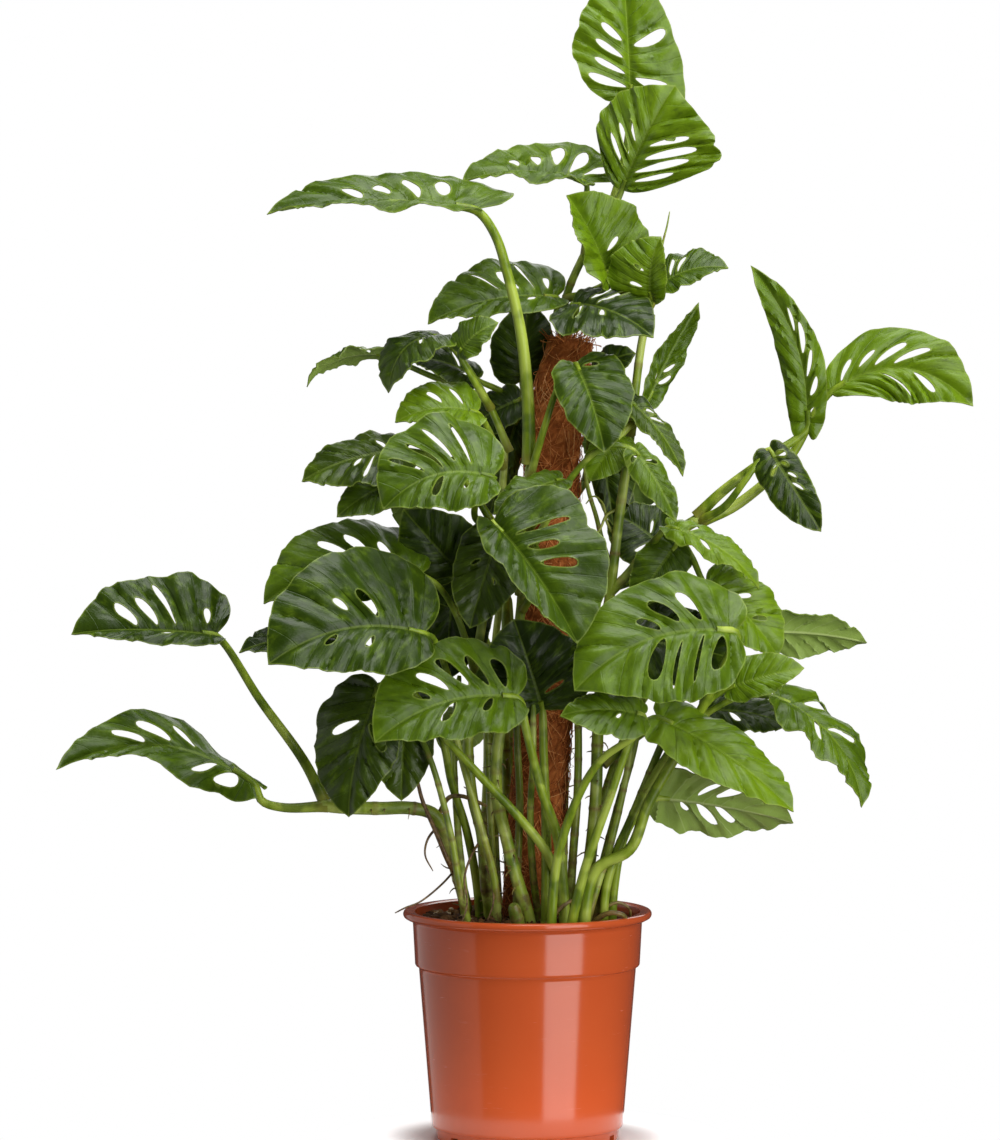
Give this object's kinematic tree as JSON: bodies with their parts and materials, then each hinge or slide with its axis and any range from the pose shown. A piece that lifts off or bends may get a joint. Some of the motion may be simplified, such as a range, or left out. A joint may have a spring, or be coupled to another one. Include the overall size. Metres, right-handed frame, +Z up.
{
  "type": "potted swiss-cheese vine",
  "caption": "Climbing houseplant with perforated oval leaves on long stalks, leaning on a coir pole and rooted in soil in a round tapered nursery pot with a rolled rim.",
  "frame": {"origin": "middle of the pot's flat base, on the surface that it stands on", "axes": "+Z up along the pot's axis, -Y towards the plant's fullest side, +X to the right of one who looks at that side"},
  "size_m": [0.6944, 0.3321, 0.8935],
  "materials": {
    "pot": "smooth glossy terracotta-orange polypropylene",
    "soil": "crumbly dark potting mix",
    "stake": "bare rough-sawn wood",
    "coir": "matted coconut fibre",
    "vine": "smooth green stem with brown scars",
    "leaf_bright": "glossy young leaf",
    "leaf_mid": "satin leaf",
    "leaf_dark": "satin leaf in shade",
    "leaf_pale": "leaf with a pale sheen"
  },
  "bodies": {
    "root": {"pot": "pot", "soil": "soil", "pole_stake": "stake", "pole_coir": "coir", "vine_front": "vine", "vine_left": "vine", "vine_runner": "vine", "vine_right": "vine", "vine_back_right": "vine", "vine_back_left": "vine", "leaf_01": "leaf_mid", "leaf_02": "leaf_mid", "leaf_03": "leaf_mid", "leaf_04": "leaf_mid", "leaf_05": "leaf_bright", "leaf_06": "leaf_bright", "leaf_08": "leaf_dark", "leaf_09": "leaf_pale", "leaf_10": "leaf_mid", "leaf_11": "leaf_dark", "leaf_12": "leaf_pale", "leaf_14": "leaf_dark", "leaf_15": "leaf_mid", "leaf_16": "leaf_bright", "leaf_17": "leaf_dark", "leaf_18": "leaf_bright", "leaf_19": "leaf_dark", "leaf_20": "leaf_dark", "leaf_21": "leaf_mid", "leaf_23": "leaf_bright", "leaf_24": "leaf_pale", "leaf_25": "leaf_mid", "leaf_26": "leaf_dark", "leaf_28": "leaf_mid", "leaf_29": "leaf_mid", "leaf_30": "leaf_dark", "leaf_31": "leaf_dark", "leaf_32": "leaf_mid", "leaf_33": "leaf_dark", "leaf_34": "leaf_bright", "leaf_35": "leaf_bright", "leaf_36": "leaf_pale", "leaf_37": "leaf_bright", "leaf_38": "leaf_dark", "leaf_39": "leaf_pale", "leaf_40": "leaf_mid", "leaf_41": "leaf_pale", "leaf_42": "leaf_pale", "leaf_43": "leaf_dark", "leaf_44": "leaf_pale", "leaf_45": "leaf_dark", "leaf_46": "leaf_dark", "leaf_47": "leaf_mid", "leaf_54": "leaf_dark", "leaf_48": "leaf_mid", "leaf_49": "leaf_mid", "leaf_50": "leaf_dark", "leaf_51": "leaf_bright", "leaf_52": "leaf_bright", "leaf_53": "leaf_mid"}
  },
  "joints": []
}
